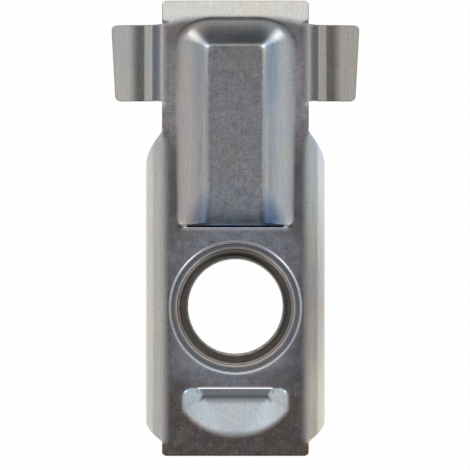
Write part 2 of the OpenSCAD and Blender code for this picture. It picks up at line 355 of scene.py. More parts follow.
def moon_depth(x, y, depth):
    """Depth of the half-moon. Its contours shrink from the round outline to a flat band at the cut edge,
    and each point's own contour is found by halving."""
    low, high = np.zeros_like(x), np.ones_like(x)
    half = MOON_HALF - MOON_CORNER * round_in((y - MOON_TOP + MOON_CORNER) / MOON_CORNER)
    for _ in range(HALVINGS):
        s = (low + high) / 2
        mid = (1 - s) * MOON_TOP + s * (MOON_R - MOON_REACH)
        band = (1 - s) * MOON_BAND
        flare = MOON_FLARE * np.clip(1 - (MOON_TOP - y) / MOON_BAND, 0, 1)
        end = (1 - s) * (MOON_FLAT + flare)
        far = np.clip(abs(x) - end, 0, None)
        down = np.clip(mid - band - y, 0, None)
        inside = (np.hypot(far, down) <= s * MOON_R) & (abs(x) <= end + s * half)
        low, high = np.where(inside, low, s), np.where(inside, s, high)
    t = np.where(high < 0.999, 1 - high, 0)
    first, last = np.clip(t, 0, MOON_SOFT), np.clip(t - 1 + MOON_SOFT, 0, MOON_SOFT)
    rise = (first ** 2 - last ** 2) / (2 * MOON_SOFT) + np.clip(t - MOON_SOFT, 0, 1 - 2 * MOON_SOFT) + last
    lean = 1 - MOON_LEAN * np.clip((MOON_TOP - y) / MOON_BAND, 0, 1)
    return np.where(y <= MOON_TOP + 1e-6, depth * lean * rise / (1 - MOON_SOFT), 0)


def fold_drop(x, y):
    """Start of the side folds, fading out where the walls end."""
    u = np.clip(abs(x) - FLAT, 0, TAB - FLAT)
    beside_wall = fade(y, WALL_TOP + 0.5, WALL_TOP - 1.1) * fade(y, -WALL_TAIL - 0.2, 0.5 - WALL_TAIL)
    return (FOLD_R - np.sqrt(FOLD_R ** 2 - u ** 2)) * beside_wall


def ear_root(u):
    """Drop of an ear's root by distance out from its start: a round bend, then a growing slope."""
    bend = EAR_BEND - np.sqrt(EAR_BEND ** 2 - np.clip(u, 0, EAR_ROUND) ** 2)
    past = np.clip(u - EAR_ROUND, 0, None)
    return bend + past * math.tan(math.asin(EAR_ROUND / EAR_BEND)) + EAR_CURVE * past ** 2


def front_depth(x, y, cage):
    """Depth of the front face behind the plane of the plate."""
    deep = cage.recess / MM
    press = np.where(y > EDGE + 0.01, recess_depth(x, y, deep), shear_roll(x, y, deep))
    beside_ear = fade(y, EAR_LOW - 0.5, EAR_LOW) * fade(y, EAR_TOP + 0.3, EAR_TOP)
    lip = lip_depth(x, y, cage.lip_fall) + ear_root(abs(x) - EAR_START) * beside_ear
    # the recess and the lip meet in a ridge, sharp where either begins; its blend adds a quarter where
    # both are level
    least = 0.004
    ridge = least + 0.26 * np.clip(np.minimum(lip, press) / 0.04, 0, 1)
    deeper = np.maximum(lip, press)
    both = soft_max(lip, press, ridge) - np.where(deeper < 0.01, least / 4, 0)
    return np.where(deeper > 0, both, 0) + moon_depth(x, y, cage.moon / MM) + fold_drop(x, y)


def walk(start, heading, steps):
    """Points along a sheet seen on edge: each step is (length, turn, pieces), turn away from the front."""
    x, z = start
    points = [(x, z)]
    for length, turn, n in steps:
        for _ in range(n):
            mid = heading + turn / n / 2
            chord = length / n
            if turn:
                chord *= math.sin(abs(turn / n / 2)) / abs(turn / n / 2)
            x += chord * math.cos(mid)
            z -= chord * math.sin(mid)
            heading += turn / n
            points.append((x, z))
    return points


def arc(radius, degrees, n):
    return (radius * math.radians(abs(degrees)), math.radians(degrees), n)


def wall_profile():
    """The fold from the plate's edge, the wall, the lower fold and the lip."""
    begun = math.asin((TAB - FLAT) / FOLD_R)
    start = (TAB, FOLD_R * (math.cos(begun) - 1))
    upper = arc(FOLD_R, 90 - math.degrees(begun), FOLD_STEPS)
    wall = (FRONT_Z - 2 * FOLD_R, 0, WALL_STEPS)
    return walk(start, begun, [upper, wall, arc(FOLD_R, 90, FOLD_STEPS), (LIP_W, 0, LIP_STEPS)])


def ear_profile():
    """The ear from the plate's edge: the root, the step, the two bends of its foot and the crown of the
    pad."""
    past = TAB - EAR_START - EAR_ROUND
    heading = math.atan(math.tan(math.asin(EAR_ROUND / EAR_BEND)) + 2 * EAR_CURVE * past)
    foot = 40
    root = arc(0.35, EAR_STEP - math.degrees(heading), ROOT_STEPS)
    step = (1.19, 0, 5)
    bends = [arc(0.15, -foot, 5), (0.46, 0, 4), arc(0.5, foot - EAR_STEP, 6), (0.2, 0, 2)]
    crown = arc(2.0, EAR_FALL, 8)
    return walk((TAB, -float(ear_root(TAB - EAR_START))), heading, [root, step, *bends, crown])


def ear_reach(y):
    """Reach of the ear's slanted end, before its corners are rounded."""
    return EAR_REACH - EAR_SLANT * (EAR_TOP - y) / (EAR_TOP - EAR_LOW)


def ear_end(y):
    """Reach of the ear at a place along it, with rounded corners."""
    near = max(0.0, EAR_R - min(EAR_TOP - y, y - EAR_LOW))
    return ear_reach(y) - (EAR_R - math.sqrt(max(0.0, EAR_R ** 2 - near ** 2)))


def corner_x(x, y):
    """Pulls the ends of the plate in at its rounded corners."""
    near = max(0.0, TAIL_R - min(y - TAIL, TOP_END - y))
    limit = TAB - (TAIL_R - math.sqrt(max(0.0, TAIL_R ** 2 - near ** 2)))
    inner = TAB - 2 * TAIL_R
    if abs(x) <= inner:
        return x
    return math.copysign(inner + (abs(x) - inner) * (limit - inner) / (TAB - inner), x)


class Net:
    """Points and quads of the front face."""

    def __init__(self):
        self.points, self.quads, self.place = [], [], {}

    def point(self, key, co):
        if key not in self.place:
            self.place[key] = len(self.points)
            self.points.append(co)
        return self.place[key]


def plate_net(cage):
    """The plate with its pressings, the walls and the ears, as one net."""
    # grid lines are closest where the sheet bends most
    half = graded([(0, 0.2), (1.5, 0.05), (2.3, 0.09), (SLIT_HALF, 0.1), (SHEAR_HALF - 0.1, 0.05),
                   (SHEAR_HALF, 0.1), (4.4, 0.115), (FLAT, 0.14), (RING, 0.1), (TAB, 0.1)])
    xs = [-v for v in half[:0:-1]] + half
    ys = graded([(TAIL, 0.125), (TAIL + TAIL_R, 0.12), (-WALL_TAIL, 0.1), (-8.7, 0.1), (-6.8, 0.07),
                 (-6.3, 0.06), (-STOP, 0.08), (MOON_TOP, 0.2), (SLIT, 0.05), (SLIT + SLIT_ROLL, 0.12),
                 (-RING, 0.3), (RING, 0.11), (EDGE - EDGE_ROLL, 0.05), (EDGE, 0.03), (CURL[0][0], 0.06),
                 (CURL[1][0], 0.08), (STOP, 0.07), (7.3, 0.25), (WALL_TOP - 1.2, 0.2), (WALL_TOP - 0.4, 0.4),
                 (WALL_TOP, 0.2), (EAR_LOW - 0.5, 0.1), (EAR_LOW, 0.1), (EAR_LOW + 0.4, 0.2), (18.3, 0.06),
                 (19.2, 0.08), (EAR_TOP - 0.2, 0.07), (EAR_TOP, 0.06), (21.3, 0.08), (TOP_END - 0.24, 0.12),
                 (TOP_END, 0.12)])
    row = {round(v, 4): j for j, v in enumerate(ys)}
    depth = front_depth(*np.meshgrid(xs, ys), cage)
    shear, slit = row[EDGE], row[MOON_TOP]
    net = Net()

    def plate(i, j):
        x, y, d = xs[i], ys[j], depth[j, i]
        if shear < j <= shear + len(CURL):
            _, curled, drop = CURL[j - shear - 1]
            share = float(fade(abs(x), SHEAR_HALF, SHEAR_HALF - CURL_FADE))
            y += share * (curled - y)
            d += share * drop
        return net.point(("plate", i, j), (corner_x(x, y), y, -d))

    for j in range(len(ys) - 1):
        for i in range(len(xs) - 1):
            mx, my = abs(xs[i] + xs[i + 1]) / 2, abs(ys[j] + ys[j + 1]) / 2
            if mx < RING and my < RING:
                continue
            if (mx < SLIT_HALF and j == slit) or (mx < SHEAR_HALF and j == shear):
                continue
            net.quads.append((plate(i, j), plate(i + 1, j), plate(i + 1, j + 1), plate(i, j + 1)))

    ring_i = [i for i, v in enumerate(xs) if abs(v) <= RING + 1e-6]
    ring_j = [j for j, v in enumerate(ys) if abs(v) <= RING + 1e-6]
    loop = ([(i, ring_j[0]) for i in ring_i] + [(ring_i[-1], j) for j in ring_j[1:]]
            + [(i, ring_j[-1]) for i in ring_i[-2::-1]] + [(ring_i[0], j) for j in ring_j[-2:0:-1]])
    radius = cage.hole / MM / 2

    def round_hole(k, t):
        i, j = loop[k % len(loop)]
        if t == 0:
            return plate(i, j)
        angle = math.atan2(ys[j], xs[i])
        x = xs[i] + (radius * math.cos(angle) - xs[i]) * t
        y = ys[j] + (radius * math.sin(angle) - ys[j]) * t
        return net.point(("hole", k % len(loop), t), (x, y, -float(fold_drop(x, y))))

    for a, b in zip(RING_STEPS, RING_STEPS[1:]):
        for k in range(len(loop)):
            net.quads.append((round_hole(k, a), round_hole(k + 1, a), round_hole(k + 1, b), round_hole(k, b)))

    walls, ears = wall_profile(), ear_profile()
    lip_from = FOLD_STEPS + WALL_STEPS
    fall = math.tan(math.radians(EAR_FALL))

    def wall(side, c, j):
        if c == 0:
            return plate(len(xs) - 1 if side > 0 else 0, j)
        x, z = walls[c]
        y = ys[j]
        gone = x - TAB - z
        if y > LIP_HALF:
            end = WALL_TOP - WALL_TOP_SLOPE * gone
            y = LIP_HALF + (y - LIP_HALF) * (end - LIP_HALF) / (WALL_TOP - LIP_HALF)
        elif y < -LIP_HALF:
            end = WALL_TAIL - WALL_TAIL_SLOPE * gone
            y = -LIP_HALF + (y + LIP_HALF) * (end - LIP_HALF) / (WALL_TAIL - LIP_HALF)
        return net.point(("wall", side, c, j), (side * x, y, z))

    def ear(side, c, j):
        if c == 0:
            return plate(len(xs) - 1 if side > 0 else 0, j)
        y = ys[j]
        x, z = ears[min(c, len(ears) - 1)]
        if c >= len(ears):
            more = (ear_end(y) - x) * (c - len(ears) + 1) / PAD_STEPS
            x, z = x + more, z - more * fall
        z -= float(lip_depth(TAB, y, cage.lip_fall)) * max(0.0, 1 - c / ROOT_STEPS)
        return net.point(("ear", side, c, j), (side * x, y, z))

    for side in (1, -1):
        for make, columns, low, high in ((wall, range(lip_from), -WALL_TAIL, WALL_TOP),
                                         (wall, range(lip_from, len(walls) - 1), -LIP_HALF, LIP_HALF),
                                         (ear, range(len(ears) + PAD_STEPS - 1), EAR_LOW, EAR_TOP)):
            for c in columns:
                for j in range(row[low], row[high]):
                    corners = ((c, j), (c + 1, j), (c + 1, j + 1), (c, j + 1))
                    quad = [make(side, *corner) for corner in corners]
                    net.quads.append(tuple(quad if side > 0 else quad[::-1]))
    return net


def thicken(net, sheet):
    """Adds the back of the sheet and its cut edges, and lists the cut edges by the places of their ends."""
    bm = bmesh.new()
    front = [bm.verts.new(co) for co in net.points]
    faces = [bm.faces.new([front[k] for k in quad]) for quad in net.quads]
    bm.normal_update()
    back = [bm.verts.new(v.co - v.normal * sheet) for v in front]
    bm.verts.index_update()
    rim = [(loop.vert.index, loop.link_loop_next.vert.index)
           for face in faces for loop in face.loops if loop.edge.is_boundary]
    for quad in net.quads:
        bm.faces.new([back[k] for k in quad[::-1]])
    for a, b in rim:
        bm.faces.new((front[b], front[a], back[a], back[b]))
    return bm, front, back, rim


def cage_mesh(cage):
    """The cage's sheet. Its cut edges carry bevel weights: most at the hole, least along the sheared cut."""
    bm, front, back, rim = thicken(plate_net(cage), cage.sheet / MM)
    weight = bm.edges.layers.float.new("bevel_weight_edge")
    radius = cage.hole / MM / 2
    share = cage.cut_edge / cage.hole_edge
    shear_share = 0.2 * share
    for a, b in rim:
        ends = [front[a].co, front[b].co]
        on_hole = all(abs(math.hypot(co.x, co.y) - radius) < 1e-3 for co in ends)
        at_shear = all(abs(co.x) < SHEAR_HALF + 0.1 and EDGE - 0.1 < co.y < STOP for co in ends)
        bm.edges.get((front[a], front[b]))[weight] = 1.0 if on_hole else shear_share if at_shear else share
        bm.edges.get((back[a], back[b]))[weight] = share
    for v in bm.verts:
        v.co = to_row(v.co)
    mesh = bpy.data.meshes.new("cage")
    bm.to_mesh(mesh)
    bm.free()
    return mesh


# the film on the cage, with painted light and shade

# what each film, or each mark of painted light or shade, multiplies the metal's colour by
FILMS_AND_PAINTED_LIGHT = {
    "painted_blue_shade": (0.56, 0.69, 0.86),
    "painted_fan_shade": (0.5, 0.57, 0.73),
    "warm_wall": (1.02, 0.96, 0.91),
    "cool_wall": (0.9, 0.94, 0.97),
    "floor": (1.0, 1.02, 1.1),
    "painted_corner_highlight": (1.4, 1.42, 1.46),
    "painted_highlight_line": (1.4, 1.42, 1.46),
    "painted_cut_shadow": (0.1, 0.09, 0.09),
    "plate": (1.0, 0.96, 1.0),
    "round_hole": (1.03, 1.1, 1.2),
    "neck": (1.12, 1.1, 1.1),
    "brown_tail": (0.95, 0.84, 0.75),
    "painted_shade_strip": (0.84, 0.81, 0.83),
    "pale_moon": (0.93, 1.0, 1.04),
    "painted_shoulder_highlight": (1.22, 1.28, 1.34),
    "right_shoulder": (0.94, 0.89, 0.82),
    "painted_crease_shade": (0.22, 0.26, 0.32),
    "straw_fold": (0.99, 0.94, 0.86),
    "right_fold_top": (1.09, 1.15, 1.2),
    "right_fold_middle": (0.82, 0.82, 0.87),
    "right_fold_tail": (1.2, 1.16, 1.07),
    "painted_ear_step_shade": (0.47, 0.51, 0.57),
    "top_lip": (1.12, 1.08, 1.0),
    "painted_edge_shade": (0.4, 0.34, 0.3),
}


def recess_films(side, y, z, e):
    """Shares of the films and painted light in the recess: painted shade tinted blue low on the walls and
    towards the sheared end, warm on its left wall and cool on its right, painted shade in fans at its
    lower corners, painted highlights at the floor's upper corners, along the floor's edges and along the
    sheared edge, and a nearly black painted shadow in the sheared cut."""
    x = abs(side)
    wall = fade(e, 0, 0.3) * fade(e, WALL_W - 0.3, WALL_W - 0.6)
    # painted shade, tinted blue, low on the walls and towards the sheared end
    crease = fade(e, 1.1, 2.0) * fade(e, WALL_W - 0.28, WALL_W - 0.43)
    crease = crease * (0.25 + 0.45 * fade(y, 12, 18)) * (1 + 0.25 * np.sign(side))
    end = (0.3 * fade(y, 8.2, 6.6) + 0.5 * fade(y, 6.8, 6.1)) * fade(e, 1.5, 2.0)
    # painted shade in fans at the recess's lower corners
    fan = fade(y, 9.0, 6.4) * fade(x, 1.6, 2.1) * fade(e - 0.5 * (y - STOP), 0.3, 1.4) * fade(e, 0, 0.5)
    # painted highlights along the floor's edges and along the sheared edge
    foot = glow(e, WALL_W - 0.14, 0.07) * fade(y, 6.6, 7.6)
    rim_highlight = glow(y, STOP + 0.06, 0.05) * fade(x, 3.3, 3.1)
    # painted shadow, nearly black, in the sheared cut, and lighter painted shade beside its ends
    cut = (y > EDGE - 0.1) * (y < STOP - 0.07) * (x < SHEAR_HALF + 0.05) * fade(z, -0.08, -0.18)
    beside = (x > SHEAR_HALF - 0.02) * (x < 4.2) * (y > EDGE + 0.01) * (y < STOP + 0.05)
    return {
        "painted_blue_shade": np.clip(crease + end, 0, 1),
        "painted_fan_shade": fan * (0.95 + 0.15 * np.sign(side)),
        "warm_wall": wall * fade(side, 0, -2.5),
        "cool_wall": wall * fade(side, 0, 2.5),
        "floor": fade(e, WALL_W - 0.3, WALL_W - 0.05) * (1 - 0.7 * end),
        # painted highlight at the floor's upper corners
        "painted_corner_highlight": glow(np.hypot(x - 2.07, y - 18.68), 0, 0.3),
        "painted_highlight_line": np.maximum(foot, rim_highlight),
        "painted_cut_shadow": np.maximum(cut, 0.4 * beside),
    }


def plate_films(side, y, e, moon, hole_r):
    """Shares of the films on the flat plate: steel blue round the hole, brown at the tail, painted shade
    beside the recess and on the plate's right below the hole, and a painted highlight ring at the upper
    half of the hole."""
    x, radius = abs(side), np.hypot(side, y)
    past_wall = np.maximum(fade(y, WALL_TOP - 0.9, WALL_TOP + 0.3),
                           fade(y, 0.3 - WALL_TAIL, -0.3 - WALL_TAIL))
    flat = FLAT + 0.25 + (TAB + 0.05 - FLAT) * past_wall
    plate = fade(x, flat, flat - 0.3) * fade(e, 0.5, 0) * fade(y, TOP_FOLD, TOP_FOLD - 0.4)
    open_plate = plate * (1 - moon)
    hole = open_plate * fade(radius, 7.2, 5.4) * fade(radius, hole_r + 0.15, hole_r + 0.25)
    hole = hole * (0.25 + 0.75 * fade(abs(y), 2.2, 4.4)) * (1 - 0.5 * fade(side, 0, 3) * fade(y, 0, -3))
    # painted highlight ring along the upper half of the hole's edge
    ring = fade(radius, hole_r + 0.26, hole_r + 0.2) * fade(radius, hole_r - 0.1, hole_r - 0.05)
    ring = ring * fade(y, -1, 3)
    beside_ear = fade(x, 4.6, 5.0) * fade(y, EAR_LOW - 0.5, EAR_LOW)
    # painted shade on the plate beside the recess, and on its right below the hole
    strip = plate * fade(x, 4.0, 4.25) * fade(y, 5.9, 6.9) * fade(y, 13.5, 12)
    shade = open_plate * fade(side, 3.2, 4.0) * glow(y, -3.3, 1.6)
    return {
        "plate": open_plate,
        "round_hole": hole,
        "neck": plate * fade(y, 9.5, 13) * (0.25 + 0.75 * fade(y, 19.3, 17.8)) * (1 - 0.7 * beside_ear),
        "brown_tail": open_plate * fade(y, -4.5, -7),
        "painted_shade_strip": np.maximum(strip, shade),
    }, ring


def moon_films(side, y, moon):
    """Shares of the films on the half-moon: pale all over, with painted highlights at its shoulders, and
    painted shade in creases that border the flat band and run out from its ends."""
    x = abs(side)
    # painted highlights on the shoulders, warmer and dimmer on the right one
    shoulder = moon * fade(x, 2.3, 2.8) * fade(y, -7.4, -6.6)
    # painted shade along the half-moon's creases
    below = MOON_TOP - MOON_BAND - y
    border = glow(below, -0.03, 0.09) * fade(x, 2.4, 2.2)
    horn = glow(x - 0.75 * below, 2.25, 0.1) * fade(below, -0.1, 0) * fade(below, 0.55, 0.25)
    return {
        "pale_moon": moon,
        "painted_shoulder_highlight": shoulder,
        "right_shoulder": shoulder * (side > 0),
        "painted_crease_shade": np.maximum(0.45 * border, 0.75 * horn) * (y < MOON_TOP),
    }


def fold_films(side, y):
    """Shares of the films on the folds, ears and top lip, with painted shade on the ears' steps and along
    the cut edges of the sheet.
    """
    x = abs(side)
    by_ear = y > EAR_LOW - 0.1
    # painted shade on the steep step of each ear
    step = fade(x, TAB + 0.03, TAB + 0.13) * fade(x, 6.03, 5.91) * by_ear
    lip = fade(y, TOP_FOLD, TOP_FOLD + 0.5) * (x < TAB + 0.02)
    strength = np.where(side < 0, 0.8, 1.3 * fade(y, 11, 6) + by_ear)
    right = fade(side, FLAT + 0.2, FLAT + 0.6) * (1 - step) * (y < WALL_TOP + 0.3)
    # distance to the nearest cut edge, with a far value where an edge doesn't reach
    far = 9
    on_ear = (y > EAR_LOW) & (y < EAR_TOP) & (x > TAB + 0.1)
    bare_side = (y > EAR_TOP) | (y < -WALL_TAIL) | ((y > WALL_TOP) & (y < EAR_LOW))
    beside_ear = np.minimum(abs(y - EAR_LOW), abs(y - EAR_TOP))
    ends = [TOP_END - y, y - TAIL, np.where(on_ear, ear_reach(y) - x, far),
            np.where(x > TAB + 0.05, beside_ear, far), np.where(bare_side, TAB - x, far)]
    return {
        "straw_fold": fade(x, FLAT, FLAT + 0.8) * (1 - step) * (1 - lip) * strength,
        "right_fold_top": right * fade(y, 3.5, 7.5),
        "right_fold_middle": right * glow(y, 0.5, 3),
        "right_fold_tail": right * fade(y, -3, -6),
        "painted_ear_step_shade": step,
        "top_lip": lip,
        # painted shade along the cut edges
        "painted_edge_shade": fade(np.min(ends, axis=0), 0.07, 0.02),
    }


def lay_film(mesh, cage):
    """Lays the films and the painted light and shade on the points of the front by its shape, as a colour,
    with the share of bright crystals as its alpha, and a share of matt surface where the punch and the
    pads held the sheet."""
    n = len(mesh.vertices)
    co, normal = np.empty(n * 3), np.empty(n * 3)
    mesh.vertices.foreach_get("co", co)
    mesh.vertices.foreach_get("normal", normal)
    side, y, z = co[0::3] / MM, co[1::3] / MM - AXIS_Y, co[2::3] / MM - FRONT_Z
    front = np.clip(normal[2::3] * 4, 0, 1)
    e = recess_inset(side, y)[0] * (y > EDGE + 0.02)
    moon = fade(y, MOON_TOP + 0.05, MOON_TOP) * fade(abs(side), MOON_HALF + 0.1, MOON_HALF - 0.35)
    moon = moon * fade(np.hypot(side, y + MOON_REACH - MOON_R), MOON_R + 0.15, MOON_R - 0.5)
    plate, ring = plate_films(side, y, e, moon, cage.hole / MM / 2)
    shares = {**recess_films(side, y, z, e), **plate, **moon_films(side, y, moon), **fold_films(side, y)}
    # the hole's painted highlight ring joins the recess's painted highlight lines
    shares["painted_highlight_line"] = np.maximum(shares["painted_highlight_line"], ring)
    # the films' colour, with the painted light and shade multiplied in
    tint = np.ones((n, 4))
    tint[:, 3] = shares["brown_tail"] * front
    for name, film_and_painted_light in FILMS_AND_PAINTED_LIGHT.items():
        share = shares[name] if name == "painted_cut_shadow" else shares[name] * front
        tint[:, :3] *= 1 + share[:, None] * (np.array(film_and_painted_light) - 1)
    mesh.attributes.new("film_and_painted_light", "FLOAT_COLOR", "POINT").data.foreach_set("color", tint.ravel())
    matt = np.clip((shares["floor"] + shares["neck"] + 0.8 * shares["round_hole"]) * front, 0, 1)
    mesh.attributes.new("matt", "FLOAT", "POINT").data.foreach_set("value", matt)


# the nut's thread, in Geometry Nodes

PITCH_R = 3.594      # radius where the thread's ridges and grooves are equally wide
LEAD_SLOPE = 27      # degrees between the lead-in and the thread axis
BORE_ROWS = 121
NUT_CORNER = 0.6     # radius of the nut's upright corners
FACE_INSET = 0.01    # the nut's faces stop short of its unbevelled sides by this
MERGE = 0.002


def thread_tree(material):
    """A bore wall whose radius follows the thread and both countersinks."""
    tree = bpy.data.node_groups.new("Nut thread", "GeometryNodeTree")
    add = partial(add_node, tree)
    tree.interface.new_socket("Geometry", in_out="OUTPUT", socket_type="NodeSocketGeometry")
    for name in ("Crest radius", "Root radius", "Pitch radius", "Pitch", "Sink radius", "Sink slope",
                 "Lead radius", "Lead slope", "Height"):
        tree.interface.new_socket(name, in_out="INPUT", socket_type="NodeSocketFloat")
    for name in ("Facets", "Rows"):
        tree.interface.new_socket(name, in_out="INPUT", socket_type="NodeSocketInt")
    given = add("NodeGroupInput").outputs
    # a flat grid, one turn wide and as high as the nut, is rolled up to the radius of each point
    grid = add("GeometryNodeMeshGrid", Size_X=2 * math.pi, Size_Y=given["Height"],
               Vertices_X=given["Facets"], Vertices_Y=given["Rows"])
    spot = add("ShaderNodeSeparateXYZ", None, add("GeometryNodeInputPosition")).outputs
    turn, rise = spot["X"], spot["Y"]
    turns = add(MATH, "DIVIDE", turn, 2 * math.pi)
    phase = add(MATH, "SUBTRACT", add(MATH, "DIVIDE", rise, given["Pitch"]), turns)
    tooth = add(MATH, "SUBTRACT", add(MATH, "PINGPONG", phase, 0.5), 0.25)
    sharp = add(MATH, "MULTIPLY", tooth, add(MATH, "MULTIPLY", given["Pitch"], 3 ** 0.5))
    flank = add(MATH, "ADD", given["Pitch radius"], sharp)
    thread = add(MATH, "MINIMUM", add(MATH, "MAXIMUM", flank, given["Crest radius"]), given["Root radius"])
    deep = add(MATH, "SUBTRACT", add(MATH, "MULTIPLY", given["Height"], 0.5), add(MATH, "ABSOLUTE", rise))
    cone = add(MATH, "SUBTRACT", given["Sink radius"], add(MATH, "MULTIPLY", deep, given["Sink slope"]))
    lead = add(MATH, "SUBTRACT", given["Lead radius"], add(MATH, "MULTIPLY", deep, given["Lead slope"]))
    radius = add(MATH, "MAXIMUM", add(MATH, "MAXIMUM", thread, cone), lead)
    wall = add("ShaderNodeCombineXYZ", X=add(MATH, "MULTIPLY", radius, add(MATH, "COSINE", turn)),
               Y=add(MATH, "MULTIPLY", radius, add(MATH, "SINE", turn)), Z=rise)
    rolled = add("GeometryNodeSetPosition", Geometry=grid, Position=wall)
    plain = add("GeometryNodeRealizeInstances", Geometry=rolled)
    coated = add("GeometryNodeSetMaterial", Geometry=plain, Material=material)
    add("NodeGroupOutput", Geometry=coated)
    return tree


def thread_mesh(nut, material, height):
    holder = add_object("thread_form", bpy.data.meshes.new("thread_form"))
    modifier = holder.modifiers.new("Thread", "NODES")
    modifier.node_group = thread_tree(material)
    sizes = {"Crest radius": nut.crest, "Root radius": nut.root, "Pitch radius": PITCH_R * MM,
             "Pitch": nut.pitch, "Sink radius": nut.sink / 2, "Sink slope": math.tan(nut.sink_angle / 2),
             "Lead radius": nut.lead, "Lead slope": math.tan(math.radians(LEAD_SLOPE)), "Height": height,
             "Facets": nut.sides + 1, "Rows": BORE_ROWS}
    for item in modifier.node_group.interface.items_tree:
        if item.in_out == "INPUT":
            modifier[item.identifier] = sizes[item.name]
    mesh = plain_mesh(holder, "thread")
    bpy.data.objects.remove(holder)
    return mesh


def nut_outline(angle, half_x, half_y, corner):
    """Reach of a rounded rectangle in one direction."""
    c, s = abs(math.cos(angle)), abs(math.sin(angle))
    reach = min(half_x / max(c, 1e-9), half_y / max(s, 1e-9))
    cx, cy = half_x - corner, half_y - corner
    if corner > 0 and reach * c > cx and reach * s > cy:
        dot = c * cx + s * cy
        reach = dot + math.sqrt(max(0.0, dot ** 2 - cx ** 2 - cy ** 2 + corner ** 2))
    return reach


def nut_mesh(nut, material):
    """The threaded bore, closed by rings down the outside: face, bevel, side, bevel and face."""
    low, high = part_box("nut")
    top = (high.z - low.z) / 2
    centre = (low + high) / 2
    bm = bmesh.new()
    bm.from_mesh(thread_mesh(nut, material, 2 * top))
    half, corner = nut.width / 2, NUT_CORNER * MM
    face = (half - nut.bevel, half - FACE_INSET * MM, 0.0)
    block = (half, half, corner)
    levels = [(top, None), (top, face), (top - nut.bevel, block), (nut.bevel - top, block),
              (-top, face), (-top, None)]
    rings = []
    for z, outline in levels:
        ring = []
        for k in range(nut.sides):
            angle = -math.pi + 2 * math.pi * k / nut.sides
            reach = nut_outline(angle, *outline) if outline else nut.sink / 2
            ring.append(bm.verts.new((reach * math.cos(angle), reach * math.sin(angle), z)))
        rings.append(ring)
    for upper, lower in zip(rings, rings[1:]):
        for k in range(nut.sides):
            m = (k + 1) % nut.sides
            bm.faces.new((upper[k], lower[k], lower[m], upper[m]))
    bmesh.ops.remove_doubles(bm, verts=bm.verts, dist=MERGE * MM)
    bmesh.ops.recalc_face_normals(bm, faces=bm.faces)
    for v in bm.verts:
        v.co += centre
    mesh = bpy.data.meshes.new("nut")
    bm.to_mesh(mesh)
    bm.free()
    return mesh


# finishes

# film on the nut by distance from the thread axis, with painted light: brown in the bore, darkened to
# near black by painted shade, light and dark rings and a painted highlight ring at the countersink, and
# blue on the face, dimmed by painted shade under the plate
BORE_TINT_AND_PAINTED_LIGHT = [(3.5, (0.75, 0.7, 0.58)), (3.56, (0.15, 0.12, 0.1)), (3.97, (0.18, 0.14, 0.12)),
             (4.03, (0.85, 0.78, 0.72)), (4.09, (0.85, 0.78, 0.72)), (4.13, (0.28, 0.24, 0.21)),
             (4.17, (0.28, 0.24, 0.21)), (4.21, (1.35, 1.16, 1.02)), (4.3, (1.35, 1.16, 1.02)),
             (4.37, (0.72, 0.75, 0.8)), (4.6, (0.62, 0.66, 0.72))]
MULTIPLY = {"data_type": "RGBA", "blend_type": "MULTIPLY"}


def sheet_film(tree, place):
    """The cage's film with its painted light and shade, laid on its points, the share of bright crystals,
    and the share of matt surface.
    """
    film_and_painted_light = add_node(tree, "ShaderNodeAttribute", {"attribute_name": "film_and_painted_light"}).outputs
    matt = add_node(tree, "ShaderNodeAttribute", {"attribute_name": "matt"}).outputs["Fac"]
    return film_and_painted_light["Color"], film_and_painted_light["Alpha"], matt


def bore_tint_and_painted_light(tree, place):
    """The nut's tint and painted light in rings round the thread axis, without crystals or matt surface."""
    add = partial(add_node, tree)
    away = add(VECTOR_MATH, "SUBTRACT", place, (0, AXIS_Y * MM, 0))
    radius = add(VECTOR_MATH, "LENGTH", add(VECTOR_MATH, "MULTIPLY", away, (1, 1, 0))).outputs["Value"]
    reach = BORE_TINT_AND_PAINTED_LIGHT[-1][0]
    share = add(MATH, "DIVIDE", radius, reach * MM)
    rings = add("ShaderNodeValToRGB", None, share, stops=[(r / reach, colour) for r, colour in BORE_TINT_AND_PAINTED_LIGHT])
    return rings, 0.0, 0.0


